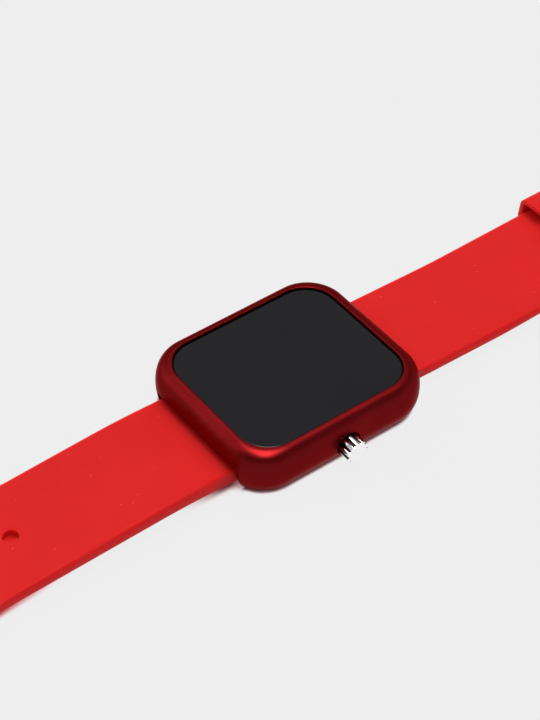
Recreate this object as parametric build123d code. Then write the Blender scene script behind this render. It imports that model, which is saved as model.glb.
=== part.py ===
from build123d import *
from math import cos, pi, radians, sin
import os

# Square LED wristwatch with a pushing crown, laid open and face up on a table.
# Millimetres, origin at the middle of the flat case back, on the table.
# +X points at the crown, +Y along the buckle strap, +Z out of the display.

# Case shell
case_width = 37.1
case_length = 42.2
case_corner = 8.6
rim_height = 10.1
widest_height = 5.3
foot_height = 0.4
rim_inset_side = 2.45
rim_inset_end = 2.9
rim_land = 0.2
rim_fullness = 2.4
foot_inset = 4.0
foot_turn = 55
rim_steps = 6
foot_steps = 3

# Window in the rim, and the lens that lies in it
window_corner_ease = 0.575
window_bevel = 0.12
lens_seat_depth = 1.8
lens_side_gap = 0.25
lens_thickness = 1.15
lens_bevel = 0.35
lens_tape_thickness = 0.25
lens_tape_gap = 0.2

# Pocket for the works, open to the back
lens_ledge_side = 1.1
lens_ledge_end = 3.1
pocket_corner = 3.2
module_gap = 0.15
stack_gap = 0.05

# Back plate and its gasket
back_ledge_side = 0.9
back_ledge_end = 1.0
back_corner = 3.2
back_thickness = 1.05
back_bevel = 0.25
back_gap = 0.1
gasket_thickness = 0.25
gasket_width = 0.5
gasket_gap = 0.05

# Coin cell, its holder and contacts
holder_wall = 4.5
cell_thickness = 2.5
cell_gap = 0.15
film_share = 0.68
film_thickness = 0.2
contact_thickness = 0.15
contact_width = 2.4
contact_rise = 0.65
contact_foot = 2.5
leaf_foot = 1.3
contact_slope = 3.0
contact_pad = 1.5
clip_drop = 2.2
clip_foot = 1.8
clip_slot_gap = 0.5

# Circuit board and what stands on it
board_thickness = 0.8
chip_size_share = 0.168
chip_height = 1.0
chip_bevel = 0.2
crystal_radius = 0.6
crystal_length = 4.6
part_offset = 4.5
part_edge_share = 0.121

# Display mask with its lit segments
mask_top = 1.6
mask_wall = 1.0
digit_count = 4
digit_gap = 2.2
digit_switch_gap = 0.25
digit_chip_gap = 1.7
segment_width = 0.8
segment_gap = 0.25
led_length = 1.2
led_width = 0.6
led_height = 0.5

# Pushing crown with its stem, tube, seal, spring and clip
crown_height = 4.4
crown_radius = 2.32
crown_length = 3.3
crown_reach = 2.65
crown_cap = 1.0
crown_cup_radius = 1.75
crown_edge = 0.15
crown_travel = 0.8
crown_side_gap = 0.28
crown_end_gap = 0.1
flute_count = 12
flute_width = 0.6
flute_depth = 0.3
stem_radius = 0.75
stem_groove_radius = 0.5
stem_tail = 1.05
tube_radius = 1.3
tube_chamber_radius = 1.05
tube_guide_length = 0.8
tube_proud = 0.2
tube_fit = 0.02
stem_fit = 0.05
seal_width = 0.5
seal_fit = 0.02
clip_thickness = 0.3
clip_radius = 1.3
clip_fit = 0.03
clip_mouth = 0.8
crown_spring_radius = 1.25
crown_spring_wire = 0.16
crown_spring_turns = 2.5
crown_spring_samples = 60
bay_gap = 0.35

# Spring bars that hold the straps
bar_inset = 2.2
bar_height = 3.2
bar_radius = 0.9
bar_bore_radius = 0.58
pin_radius = 0.55
pin_grip = 2.0
pin_side_gap = 0.35
pin_tip_radius = 0.42
pin_tip_reach = 1.0
pin_travel = 1.1
pin_travel_gap = 0.2
lug_hole_gap = 0.03
lug_hole_spare = 0.2

# Straps
strap_shoulder = 6.85
strap_fit = 0.05
strap_edge_share = 0.3
lug_radius = 1.65
notch_side_gap = 0.6
notch_end_gap = 0.25
notch_headroom = 0.65
end_block_length = 3.4
strap_bend = 150

# Hole strap, to the 6 o'clock side
hole_strap_thickness = 2.4
hole_strap_hump_reach = 10.0
hole_strap_hump_height = 3.6
hole_strap_floor_reach = 67.0
hole_strap_length = 112.0
hole_strap_tip_flat = 1.5
hole_radius = 1.5
hole_count = 8
hole_pitch = 7.0
first_hole_reach = 39.3

# Buckle strap, to the 12 o'clock side
buckle_strap_thickness = 2.1
buckle_strap_dip_reach = 22.9
buckle_strap_dip_height = 2.35
buckle_strap_rise_reach = 48.9
buckle_strap_rise_height = 2.75
buckle_strap_length = 75.9
buckle_lug_radius = 1.7
tongue_slot_width = 3.8
tongue_slot_length = 6.5

# Loose keeper loop
keeper_reach = 47.9
keeper_width = 8.0
keeper_side_gap = 0.4
keeper_side_wall = 1.3
keeper_floor_wall = 0.9
keeper_top_wall = 1.0
keeper_room = 4.6
keeper_corner = 1.4
keeper_inner_corner = 0.5

# Buckle with its pin and tongue
buckle_pin_radius = 0.8
buckle_pin_height = 2.0
buckle_end_radius = 2.0
buckle_bar_radius = 1.35
buckle_reach = 12.1
buckle_side_wall = 2.6
buckle_side_gap = 0.5
buckle_bar_width = 2.9
buckle_corner = 4.0
buckle_window_corner = 1.6
buckle_pin_sink = 0.4
buckle_pin_fit = 0.01
tongue_groove_depth = 0.4
tongue_groove_gap = 0.2
tongue_width = 2.6
tongue_loop_width = 3.2
tongue_loop_radius = 1.55
tongue_fit = 0.05
tongue_root_radius = 0.72
tongue_root_reach = 1.5
tongue_root_rise = 0.72
tongue_tip_radius = 0.6
tongue_tip_reach = 12.6
tongue_rest_gap = 0.16

# How far a cutter runs past what it cuts
overrun = 1.0

# Window, pocket and back, from the case's outline inwards
window_width = case_width - 2 * (rim_inset_side + rim_land)
window_length = case_length - 2 * (rim_inset_end + rim_land)
window_corner = case_corner - (rim_inset_side + rim_inset_end) / 2 + window_corner_ease
pocket_width = window_width - 2 * lens_ledge_side
pocket_length = window_length - 2 * lens_ledge_end
back_width = pocket_width + 2 * back_ledge_side
back_length = pocket_length + 2 * back_ledge_end
cell_radius = pocket_width / 2 - module_gap - holder_wall - cell_gap

# Heights of the stack, from the table up
seat_height = back_thickness + gasket_thickness
film_top = back_thickness + film_thickness
cell_top = film_top + cell_thickness
board_low = cell_top + contact_rise
board_top = board_low + board_thickness
lens_seat = rim_height - lens_seat_depth
mask_high = lens_seat - stack_gap
mask_ceiling = mask_high - mask_top
holder_low = back_thickness + stack_gap

# Places along X on the crown side
crown_end = case_width / 2 + crown_reach
crown_under = crown_end - crown_length
recess_floor = crown_under - crown_travel - crown_end_gap
tube_inner_end = pocket_width / 2 - tube_proud
guide_end = tube_inner_end + tube_guide_length
clip_face = tube_inner_end - stack_gap
stem_end = clip_face - clip_thickness - stem_tail
switch_face = stem_end - crown_travel - stack_gap
seal_place = guide_end + seal_width / 2 + crown_travel + stack_gap
switch_foot = switch_face - contact_thickness - bay_gap - leaf_foot

# Places on the board, and the digits that keep clear of them
chip_size = chip_size_share * pocket_length
part_edge = part_edge_share * pocket_length
part_place = part_edge + chip_size / 2 - pocket_length / 2
display_reach = pocket_length / 2 - part_edge - chip_size - digit_chip_gap
digit_height = 2 * display_reach - segment_width
last_bar = switch_foot - led_width / 2 - digit_switch_gap
digit_pitch = (2 * last_bar + digit_gap) / digit_count
digit_width = digit_pitch - digit_gap

# Straps between the case's shoulders, their bars and the notches in the case
strap_width = case_width - 2 * strap_shoulder
hole_strap_tip_round = strap_width / 2 - hole_strap_tip_flat
bar_place = case_length / 2 - bar_inset
notch_floor = bar_place - lug_radius - notch_end_gap
notch_half = strap_width / 2 + notch_side_gap
notch_ceiling = bar_height + lug_radius + notch_headroom
pin_shoulder = notch_half - pin_side_gap
bar_half = pin_shoulder - pin_travel - pin_travel_gap

# Places along the straps
case_end = case_length / 2
buckle_place = case_end + buckle_strap_length
buckle_half = strap_width / 2 + buckle_side_gap


def plate(width, length, corner, low, high):
    """A flat plate with round corners between two heights."""
    outline = Pos(0, 0, low) * RectangleRounded(width, length, corner)
    return extrude(outline, amount=high - low)


def block(left, right, near, far, low, high):
    """A square block between six faces."""
    middle = Pos((left + right) / 2, (near + far) / 2, (low + high) / 2)
    return middle * Box(right - left, far - near, high - low)


def bar_x(radius, start, stop, place, height):
    """A round bar along X."""
    outline = Plane.YZ.offset(start) * Pos(place, height) * Circle(radius)
    return extrude(outline, amount=stop - start)


def bar_z(radius, low, high, x, y):
    """A round bar along Z."""
    return extrude(Pos(x, y, low) * Circle(radius), amount=high - low)


def case_outline(height, inset_side, inset_end):
    """The case's rounded rectangle at one height, drawn in from its widest outline."""
    corner = case_corner - (inset_side + inset_end) / 2
    width = case_width - 2 * inset_side
    length = case_length - 2 * inset_end
    return Pos(0, 0, height) * RectangleRounded(width, length, corner)


def case_pillow():
    """The case's outer form: a full shoulder above its widest outline, an ellipse below."""
    foot_ellipse = (widest_height - foot_height) / sin(radians(foot_turn))
    rim_ellipse = rim_height - widest_height
    sections = []
    for step in range(foot_steps, 0, -1):
        turn = radians(foot_turn) * step / foot_steps
        inset = foot_inset * (1 - cos(turn))
        sections.append(case_outline(widest_height - foot_ellipse * sin(turn), inset, inset))
    for step in range(rim_steps + 1):
        turn = pi / 2 * step / rim_steps
        draw_in = 1 - abs(cos(turn)) ** (2 / rim_fullness)
        height = widest_height + rim_ellipse * sin(turn) ** (2 / rim_fullness)
        sections.append(case_outline(height, rim_inset_side * draw_in, rim_inset_end * draw_in))
    return loft(sections, ruled=True)


def case_shell():
    """The moulded case with its window, pocket, strap notches and crown recess."""
    shell = case_pillow()
    top = rim_height + overrun
    shell -= plate(window_width, window_length, window_corner, lens_seat, top)
    shell -= plate(pocket_width, pocket_length, pocket_corner, -overrun, top)
    recess_width = back_width + 2 * back_gap
    recess_length = back_length + 2 * back_gap
    shell -= plate(recess_width, recess_length, back_corner + back_gap, -overrun, seat_height)
    far = case_end + overrun
    shell -= block(-notch_half, notch_half, notch_floor, far, -overrun, notch_ceiling)
    shell -= block(-notch_half, notch_half, -far, -notch_floor, -overrun, notch_ceiling)
    hole_end = notch_half + pin_tip_reach + lug_hole_spare
    for side in (-1, 1):
        shell -= bar_x(
            pin_tip_radius + lug_hole_gap, -hole_end, hole_end, side * bar_place, bar_height)
    outside = crown_end + overrun
    shell -= bar_x(crown_radius + crown_side_gap, recess_floor, outside, 0, crown_height)
    shell -= bar_x(tube_radius + tube_fit, 0, outside, 0, crown_height)
    rim_edges = shell.faces().sort_by(Axis.Z)[-1].inner_wires()[0].edges()
    return chamfer(rim_edges, window_bevel)


def display_lens():
    """The dark lens with its ground top edge."""
    width = window_width - 2 * lens_side_gap
    length = window_length - 2 * lens_side_gap
    low = lens_seat + lens_tape_thickness
    lens = plate(width, length, window_corner - lens_side_gap, low, low + lens_thickness)
    return chamfer(lens.faces().sort_by(Axis.Z)[-1].edges(), lens_bevel)


def lens_tape():
    """The frame of adhesive tape that the lens lies on."""
    width = window_width - 2 * lens_side_gap
    length = window_length - 2 * lens_side_gap
    high = lens_seat + lens_tape_thickness
    tape = plate(width, length, window_corner - lens_side_gap, lens_seat, high)
    return tape - plate(
        pocket_width + 2 * lens_tape_gap, pocket_length + 2 * lens_tape_gap,
        pocket_corner + lens_tape_gap, lens_seat - overrun, high + overrun)


def back_plate():
    """The flat steel back with its bevelled edge."""
    cover = plate(back_width, back_length, back_corner, 0, back_thickness)
    return chamfer(cover.faces().sort_by(Axis.Z)[0].edges(), back_bevel)


def back_gasket():
    """The flat gasket round the pocket, under the back plate."""
    grow = 2 * (gasket_gap + gasket_width)
    corner = pocket_corner + gasket_gap
    ring = plate(
        pocket_width + grow, pocket_length + grow, corner + gasket_width,
        back_thickness, seat_height)
    return ring - plate(
        pocket_width + 2 * gasket_gap, pocket_length + 2 * gasket_gap, corner,
        back_thickness - overrun, seat_height + overrun)


def crown_bay():
    """The room that the works leave for the stem, its clip and the switch."""
    half = clip_radius + bay_gap
    start = switch_face - contact_thickness - bay_gap
    return block(
        start, pocket_width, -half, half, crown_height - half, crown_height + half)


def cell_holder():
    """The moulded ring that holds the cell and carries the board."""
    width = pocket_width - 2 * module_gap
    length = pocket_length - 2 * module_gap
    holder = plate(width, length, pocket_corner - module_gap, holder_low, board_low)
    holder -= bar_z(cell_radius + cell_gap, 0, board_top, 0, 0)
    half = contact_width / 2 + clip_slot_gap
    slot_end = cell_radius + clip_foot + clip_slot_gap
    slot_low = board_low - clip_drop - clip_slot_gap
    holder -= block(-slot_end, 0, -half, half, slot_low, board_top)
    return holder - crown_bay()


def coin_cell():
    """The round cell, lying on the film."""
    return bar_z(cell_radius, film_top, cell_top, 0, 0)


def insulating_film():
    """The thin square sheet between the cell and the back plate."""
    half = cell_radius * film_share
    return block(-half, half, -half, half, back_thickness, film_top)


def cell_contact():
    """The sprung strip that leads from the board down to the cell's cap."""
    foot_middle = board_low - contact_thickness / 2
    pad_height = cell_top + stack_gap + contact_thickness / 2
    start = -contact_slope / 2
    end = contact_slope / 2
    strip = trace(
        Polyline(
            (start - contact_foot, foot_middle), (start, foot_middle),
            (end, pad_height), (end + contact_pad, pad_height)),
        line_width=contact_thickness)
    return extrude(Plane.YZ * strip, amount=contact_width / 2, both=True)


def cell_clip():
    """The bent strip that leads from the board down the side of the can."""
    inner = cell_radius + stack_gap
    outer = inner + contact_thickness
    half = contact_width / 2
    low = board_low - clip_drop
    leg = block(-outer, -inner, -half, half, low, board_low)
    foot_low = board_low - contact_thickness
    return leg + block(-inner - clip_foot, -inner, -half, half, foot_low, board_low)


def circuit_board():
    """The board, cut away for the stem."""
    width = pocket_width - 2 * module_gap
    length = pocket_length - 2 * module_gap
    board = plate(width, length, pocket_corner - module_gap, board_low, board_top)
    return board - crown_bay()


def control_chip():
    """The square chip that runs the clock."""
    half = chip_size / 2
    chip = block(
        part_offset - half, part_offset + half, part_place - half, part_place + half,
        board_top, board_top + chip_height)
    return chamfer(chip.faces().sort_by(Axis.Z)[-1].edges(), chip_bevel)


def crystal_can():
    """The round can of the timing crystal, lying on the board."""
    start = -part_offset - crystal_length / 2
    height = board_top + crystal_radius
    return bar_x(crystal_radius, start, start + crystal_length, part_place, height)


def switch_leaf():
    """The leaf on the board's edge that the stem pushes."""
    half = contact_width / 2
    back = switch_face - contact_thickness
    low = crown_height - stem_radius
    foot_top = board_top + contact_thickness
    leaf = block(back, switch_face, -half, half, low, foot_top)
    return leaf + block(switch_foot, switch_face, -half, half, board_top, foot_top)


def segment_places():
    """Centre and half sizes of each bar and dot of the display."""
    across = (digit_width - segment_width) / 2 - segment_gap
    along = (digit_height / 2 - segment_width) / 2 - segment_gap
    thin = segment_width / 2
    side = digit_width / 2
    places = []
    for digit in range(digit_count):
        x = (digit - (digit_count - 1) / 2) * digit_pitch
        for step in (-1, 0, 1):
            places.append((x, step * digit_height / 2, across, thin))
        for left in (-side, side):
            for level in (-digit_height / 4, digit_height / 4):
                places.append((x + left, level, thin, along))
    for level in (-digit_height / 4, digit_height / 4):
        places.append((0, level, thin, thin))
    return places


def display_mask():
    """The black mask with a window for each bar of the display."""
    width = pocket_width - 2 * module_gap
    length = pocket_length - 2 * module_gap
    corner = pocket_corner - module_gap
    mask = plate(width, length, corner, board_top, mask_high)
    mask -= plate(
        width - 2 * mask_wall, length - 2 * mask_wall, corner - mask_wall,
        board_top - overrun, mask_ceiling)
    windows = [
        block(x - across, x + across, y - along, y + along, board_top, mask_high + overrun)
        for x, y, across, along in segment_places()]
    return mask - windows - crown_bay()


def light_segments():
    """The milky blocks that light the mask's windows, one behind each digit and the dots."""
    low = board_top + led_height + stack_gap
    middle = (digit_count - 1) / 2
    spans = [
        ((digit - middle) * digit_pitch, (digit_width + segment_width) / 2)
        for digit in range(digit_count)]
    spans.append((0, segment_width / 2))
    return Compound([
        block(x - wide, x + wide, -display_reach, display_reach, low, mask_ceiling)
        for x, wide in spans])


def led_chips():
    """One small lamp on the board under each bar, one node."""
    lamps = []
    for x, y, across, along in segment_places():
        wide, long = (led_length, led_width) if across > along else (led_width, led_length)
        lamps.append(block(
            x - wide / 2, x + wide / 2, y - long / 2, y + long / 2,
            board_top, board_top + led_height))
    return Compound(lamps)


def crown():
    """The fluted crown with its cup for the spring and its grooved stem."""
    head = bar_x(crown_radius, crown_under, crown_end, 0, crown_height)
    head = chamfer(head.faces().sort_by(Axis.X)[-1].edges(), crown_edge)
    root = crown_radius - flute_depth
    flute = make_face(Polyline(
        (root, 0), (crown_radius, flute_width / 2),
        (crown_radius + overrun, flute_width / 2),
        (crown_radius + overrun, -flute_width / 2),
        (crown_radius, -flute_width / 2), close=True))
    start = Plane.YZ.offset(crown_under - overrun) * Pos(0, crown_height)
    cutter = extrude(start * flute, amount=crown_length + 2 * overrun)
    centre_line = Axis((0, 0, crown_height), (1, 0, 0))
    for step in range(flute_count):
        head -= cutter.rotate(centre_line, 360 * step / flute_count)
    cup_end = crown_end - crown_cap
    head -= bar_x(crown_cup_radius, crown_under - overrun, cup_end, 0, crown_height)
    stem = bar_x(stem_radius, stem_end, cup_end + crown_cap / 2, 0, crown_height)
    grooves = [
        (clip_face - clip_thickness - clip_fit, clip_face + clip_fit),
        (seal_place - seal_width / 2 - seal_fit, seal_place + seal_width / 2 + seal_fit)]
    for start, stop in grooves:
        ring = bar_x(stem_radius + overrun, start, stop, 0, crown_height)
        stem -= ring - bar_x(stem_groove_radius, start, stop, 0, crown_height)
    return head + stem


def crown_seal():
    """The square-cut rubber ring in the stem's outer groove."""
    start = seal_place - seal_width / 2
    stop = seal_place + seal_width / 2
    ring = bar_x(tube_chamber_radius - seal_fit, start, stop, 0, crown_height)
    return ring - bar_x(stem_groove_radius + seal_fit, start, stop, 0, crown_height)


def crown_tube():
    """The brass tube in the case wall: a guide for the stem and a chamber for the seal."""
    tube = bar_x(tube_radius, tube_inner_end, recess_floor, 0, crown_height)
    tube -= bar_x(stem_radius + stem_fit, 0, crown_end, 0, crown_height)
    return tube - bar_x(tube_chamber_radius, guide_end, crown_end, 0, crown_height)


def crown_clip():
    """The open ring that keeps the stem from coming out."""
    start = clip_face - clip_thickness
    clip = bar_x(clip_radius, start, clip_face, 0, crown_height)
    clip -= bar_x(stem_groove_radius + clip_fit, 0, crown_end, 0, crown_height)
    half = clip_mouth / 2
    return clip - block(
        start - overrun, clip_face + overrun, -half, half,
        crown_height - clip_radius - overrun, crown_height)


def crown_spring():
    """The coil spring between the recess floor and the crown's cup."""
    first = recess_floor + stack_gap + crown_spring_wire
    last = crown_end - crown_cap - stack_gap - crown_spring_wire
    pitch = (last - first) / crown_spring_turns
    coil = Helix(
        pitch, last - first, crown_spring_radius,
        center=(first, 0, crown_height), direction=(1, 0, 0))
    wire = Plane(origin=coil @ 0, z_dir=coil % 0) * RegularPolygon(crown_spring_wire, 4)
    points = [coil @ (step / crown_spring_samples) for step in range(crown_spring_samples + 1)]
    half_turn = int(crown_spring_samples / crown_spring_turns / 2)
    least = min(
        (far - near).length
        for index, near in enumerate(points) for far in points[index + half_turn:])
    print("crown spring gap", round(least - 2 * crown_spring_wire, 3))
    return sweep(wire, path=coil, is_frenet=True)


def bar_tube(side):
    """The tube of one spring bar; side is 1 at 12 o'clock and -1 at 6 o'clock."""
    place = side * bar_place
    tube = bar_x(bar_radius, -bar_half, bar_half, place, bar_height)
    return tube - bar_x(bar_bore_radius, -bar_half, bar_half, place, bar_height)


def bar_pin(side, hand):
    """One sprung pin of a bar; hand is 1 on the crown side and -1 on the other."""
    place = side * bar_place
    shank_start = bar_half - pin_grip
    tip_end = notch_half + pin_tip_reach
    pin = bar_x(pin_radius, shank_start, pin_shoulder, place, bar_height)
    pin += bar_x(pin_tip_radius, pin_shoulder, tip_end, place, bar_height)
    return pin if hand > 0 else mirror(pin, about=Plane.YZ)


def strap_band(points, thickness):
    """A strap of steady section along a route in the YZ plane."""
    route = Plane.YZ * FilletPolyline(*points, radius=strap_bend)
    section = Plane(origin=route @ 0, x_dir=(1, 0, 0), z_dir=route % 0)
    outline = Rectangle(strap_width, thickness)
    softened = chamfer(outline.vertices(), thickness * strap_edge_share)
    band = sweep(section * softened, path=route)
    (start_y, start_z), (next_y, next_z) = points[:2]
    share = (bar_inset + end_block_length) / (next_y - start_y)
    block_end = (start_y + share * (next_y - start_y), start_z + share * (next_z - start_z))
    block_route = Plane.YZ * Line(points[0], block_end)
    end_block = sweep(section * outline, path=block_route)
    half = strap_width / 2
    lug = bar_x(lug_radius, -half, half, bar_place, bar_height)
    band += end_block
    band += lug
    return band - bar_x(
        bar_radius + strap_fit, -half - overrun, half + overrun, bar_place, bar_height)


def hole_strap():
    """The strap with the row of holes and a round tip, along -Y."""
    flat = hole_strap_thickness / 2
    points = [
        (bar_place, bar_height),
        (case_end + hole_strap_hump_reach, hole_strap_hump_height),
        (case_end + hole_strap_floor_reach, flat),
        (case_end + hole_strap_length, flat)]
    strap = strap_band(points, hole_strap_thickness)
    tip = case_end + hole_strap_length
    high = 2 * bar_height
    half = strap_width / 2
    square_tip = block(-half, half, tip - hole_strap_tip_round, tip + overrun, -overrun, high)
    ends = Pos(0, tip - half - hole_strap_tip_round) * RectangleRounded(
        strap_width, strap_width + 2 * hole_strap_tip_round, hole_strap_tip_round)
    round_tip = extrude(Pos(0, 0, -overrun) * ends, amount=high + overrun)
    strap -= square_tip - round_tip
    for step in range(hole_count):
        place = case_end + first_hole_reach + step * hole_pitch
        strap -= bar_z(hole_radius, -overrun, high, 0, place)
    return Rot(0, 0, 180) * strap


def buckle_strap():
    """The strap that carries the buckle, with a slot for the tongue, along +Y."""
    points = [
        (bar_place, bar_height),
        (case_end + buckle_strap_dip_reach, buckle_strap_dip_height),
        (case_end + buckle_strap_rise_reach, buckle_strap_rise_height),
        (buckle_place, buckle_pin_height)]
    strap = strap_band(points, buckle_strap_thickness)
    half = strap_width / 2
    strap += bar_x(buckle_lug_radius, -half, half, buckle_place, buckle_pin_height)
    strap -= bar_x(
        buckle_pin_radius + strap_fit, -half - overrun, half + overrun,
        buckle_place, buckle_pin_height)
    slot = tongue_slot_width / 2
    end = buckle_place + buckle_lug_radius + overrun
    return strap - block(
        -slot, slot, buckle_place - tongue_slot_length, end, -overrun, 2 * bar_height)


def keeper():
    """The loose loop that holds the strap's tail."""
    inner_width = strap_width + 2 * keeper_side_gap
    outer_width = inner_width + 2 * keeper_side_wall
    outer_height = keeper_floor_wall + keeper_room + keeper_top_wall
    start = Plane.XZ.offset(-case_end - keeper_reach)
    outer = Pos(0, outer_height / 2) * RectangleRounded(outer_width, outer_height, keeper_corner)
    room_middle = keeper_floor_wall + keeper_room / 2
    inner = Pos(0, room_middle) * RectangleRounded(inner_width, keeper_room, keeper_inner_corner)
    return extrude(start * (outer - inner), amount=-keeper_width)


def buckle_bar_place():
    """Middle of the buckle's far bar, along Y."""
    return buckle_place + buckle_reach


def side_hull(circles):
    """A side view shape drawn tight round circles given as place, height, radius."""
    edges = [(Pos(place, height) * Circle(radius)).edge() for place, height, radius in circles]
    return Plane.YZ * make_hull(edges)


def buckle_frame():
    """The cast frame: two cheeks round the pin and a far bar with a groove."""
    half = buckle_half + buckle_side_wall
    far = buckle_bar_place() + buckle_bar_radius
    side = side_hull([
        (buckle_place, buckle_pin_height, buckle_end_radius),
        (buckle_bar_place(), buckle_bar_radius, buckle_bar_radius)])
    frame = extrude(side, amount=half, both=True)
    near = buckle_place - buckle_end_radius
    plan_length = far - near + 2 * buckle_corner
    plan = plate(
        2 * half, plan_length, buckle_corner, -overrun, 2 * bar_height + overrun)
    frame &= Pos(0, far - plan_length / 2) * plan
    window_far = far - buckle_bar_width
    opening_length = window_far - near + 2 * buckle_window_corner
    window = plate(
        2 * buckle_half, opening_length, buckle_window_corner,
        -overrun, 2 * bar_height + overrun)
    frame -= Pos(0, window_far - opening_length / 2) * window
    frame -= bar_x(
        buckle_pin_radius + buckle_pin_fit, -half - overrun, half + overrun,
        buckle_place, buckle_pin_height)
    groove = tongue_width / 2 + tongue_groove_gap
    groove_low = 2 * buckle_bar_radius - tongue_groove_depth
    return frame - block(
        -groove, groove, window_far - overrun, far + overrun, groove_low, 2 * bar_height)


def buckle_pin():
    """The plain pin pressed into the cheeks."""
    end = buckle_half + buckle_side_wall - buckle_pin_sink
    return bar_x(buckle_pin_radius, -end, end, buckle_place, buckle_pin_height)


def buckle_tongue():
    """The tongue: a loop on the pin and an arm that lies in the far bar's groove."""
    loop_half = tongue_loop_width / 2
    loop = bar_x(
        tongue_loop_radius, -loop_half, loop_half, buckle_place, buckle_pin_height)
    groove_low = 2 * buckle_bar_radius - tongue_groove_depth
    tip_height = groove_low + tongue_rest_gap + tongue_tip_radius
    side = side_hull([
        (buckle_place + tongue_root_reach, buckle_pin_height + tongue_root_rise,
         tongue_root_radius),
        (buckle_place + tongue_tip_reach, tip_height, tongue_tip_radius)])
    tongue = loop + extrude(side, amount=tongue_width / 2, both=True)
    return tongue - bar_x(
        buckle_pin_radius + tongue_fit, -loop_half - overrun, loop_half + overrun,
        buckle_place, buckle_pin_height)


nodes = {
    "case_shell": case_shell(),
    "display_lens": display_lens(),
    "lens_tape": lens_tape(),
    "back_plate": back_plate(),
    "back_gasket": back_gasket(),
    "cell_holder": cell_holder(),
    "coin_cell": coin_cell(),
    "insulating_film": insulating_film(),
    "cell_contact": cell_contact(),
    "cell_clip": cell_clip(),
    "circuit_board": circuit_board(),
    "control_chip": control_chip(),
    "crystal_can": crystal_can(),
    "switch_leaf": switch_leaf(),
    "display_mask": display_mask(),
    "light_segments": light_segments(),
    "led_chips": led_chips(),
    "crown": crown(),
    "crown_seal": crown_seal(),
    "crown_tube": crown_tube(),
    "crown_clip": crown_clip(),
    "crown_spring": crown_spring(),
    "hole_strap": hole_strap(),
    "buckle_strap": buckle_strap(),
    "keeper": keeper(),
    "buckle_frame": buckle_frame(),
    "buckle_pin": buckle_pin(),
    "buckle_tongue": buckle_tongue(),
}
for clock, side in (("12", 1), ("6", -1)):
    nodes[f"bar_tube_{clock}"] = bar_tube(side)
    for hand_name, hand in (("left", -1), ("right", 1)):
        nodes[f"bar_pin_{clock}_{hand_name}"] = bar_pin(side, hand)

os.makedirs("parts", exist_ok=True)
for name, solid in nodes.items():
    export_step(solid, f"parts/{name}.step")
    print(name, len(solid.solids()), round(solid.volume, 3))
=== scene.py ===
from math import atan2, cos, degrees, pi, radians, sin

import bpy
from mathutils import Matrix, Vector


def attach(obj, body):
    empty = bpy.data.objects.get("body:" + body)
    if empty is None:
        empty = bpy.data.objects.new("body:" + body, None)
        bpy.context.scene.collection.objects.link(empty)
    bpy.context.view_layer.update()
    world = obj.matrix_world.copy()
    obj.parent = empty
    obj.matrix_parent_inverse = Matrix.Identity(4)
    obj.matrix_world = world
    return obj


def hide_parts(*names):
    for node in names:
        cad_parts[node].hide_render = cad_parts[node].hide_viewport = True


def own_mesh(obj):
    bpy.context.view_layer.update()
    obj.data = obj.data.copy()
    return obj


# A square LED wristwatch, laid open and face up on a pale floor.
# Lengths are written in millimetres and made metres by mm.
# +X points at the crown, +Y along the buckle strap, +Z out of the display.

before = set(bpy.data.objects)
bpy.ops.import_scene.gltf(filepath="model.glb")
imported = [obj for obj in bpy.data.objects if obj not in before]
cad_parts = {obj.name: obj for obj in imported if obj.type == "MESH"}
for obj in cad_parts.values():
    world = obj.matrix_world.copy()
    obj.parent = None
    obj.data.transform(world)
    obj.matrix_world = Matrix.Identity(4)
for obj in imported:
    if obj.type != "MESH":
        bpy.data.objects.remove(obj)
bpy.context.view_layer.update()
mm = 0.001

# Case: outer form, window, pocket, seat of the back, and the notches for the strap ends
case_width, case_length, case_corner = 37.1, 42.2, 8.6
rim_height, widest_height, foot_height, rim_fullness = 10.1, 5.3, 0.4, 2.4
rim_inset_side, rim_inset_end, foot_turn = 2.45, 2.9, 55
foot_inset_side, foot_inset_end, rim_steps, foot_steps = 4.8, 3.0, 18, 9
window_width, window_length, window_corner, lens_seat = 31.8, 36.0, 6.5, 8.3
pocket_width, pocket_length, pocket_corner = 29.6, 29.8, 3.2
seat_width, seat_length, seat_corner, seat_depth = 31.6, 32.0, 3.3, 1.3
notch_half, notch_start, notch_height = 12.3, 17.0, 5.5
bar_hole, bar_reach = 0.45, 13.5
beyond, above = 24, 14

# Lens and back
lens_width, lens_length, lens_corner = 31.5, 35.7, 6.35
lens_under, lens_top, lens_edge = 8.55, 9.7, 0.35
back_width, back_length, back_corner, back_thickness = 31.4, 31.8, 3.2, 1.05
sink_radius, sink_depth, screw_x, screw_y = 1.2, 0.55, 13.7, 13.9
head_radius, head_under, slot_half, slot_depth = 1.15, 0.08, 0.16, 0.24

# Crown, its recess, stem and spring
crown_height, crown_under, crown_end = 4.4, 17.9, 21.2
crown_turned_radius, flute_count, first_flute = 2.32, 10, 111
cup_radius, cup_end, recess_radius, recess_start, tube_hole = 1.75, 20.2, 2.6, 17.0, 1.32
stem_radius, groove_radius = 0.75, 0.5
coil_start, coil_stop, coil_wire, coil_radius = 17.05, 20.15, 0.15, 1.25
coil_turns, crown_travel = 2.5, 0.8

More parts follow.
